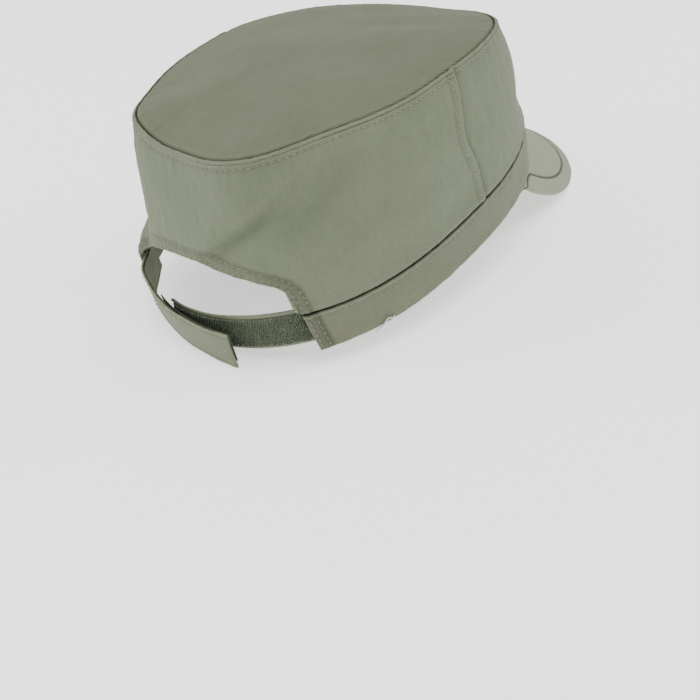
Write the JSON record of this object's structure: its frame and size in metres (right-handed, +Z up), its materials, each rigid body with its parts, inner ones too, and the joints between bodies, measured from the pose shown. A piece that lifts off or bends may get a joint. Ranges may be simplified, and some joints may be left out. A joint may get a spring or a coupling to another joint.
{
  "type": "patrol cap",
  "caption": "Soft cloth patrol cap: oval crown on a plain band, a curved down-sloping peak, and a hook-and-loop adjusting strap under a window at the back.",
  "frame": {"origin": "on the surface that the cap rests on, under the middle of its outline", "axes": "+Z up, +Y towards the back of the cap, so the peak points along -Y and the wearer's right is at -X"},
  "size_m": [0.1488, 0.2528, 0.1062],
  "materials": {
    "crown_top_cloth": "sage green cotton twill, matt, slightly faded",
    "crown_side_cloth": "sage green cotton twill, matt",
    "band_cloth": "sage green cotton twill, matt",
    "peak_cloth": "sage green cotton twill over a stiff board, matt",
    "strap_cloth": "sage green cotton twill, matt",
    "loop_pile": "olive green looped pile, fuzzy",
    "hook_tape": "dark olive woven tape with small hooks"
  },
  "bodies": {
    "root": {"crown_top": "crown_top_cloth", "crown_front_panel": "crown_side_cloth", "crown_back_panel": "crown_side_cloth", "band": "band_cloth", "peak": "peak_cloth", "adjuster_strap": "strap_cloth", "loop_tape": "loop_pile", "fastening_tab": "strap_cloth", "hook_tape": "hook_tape"}
  },
  "joints": []
}
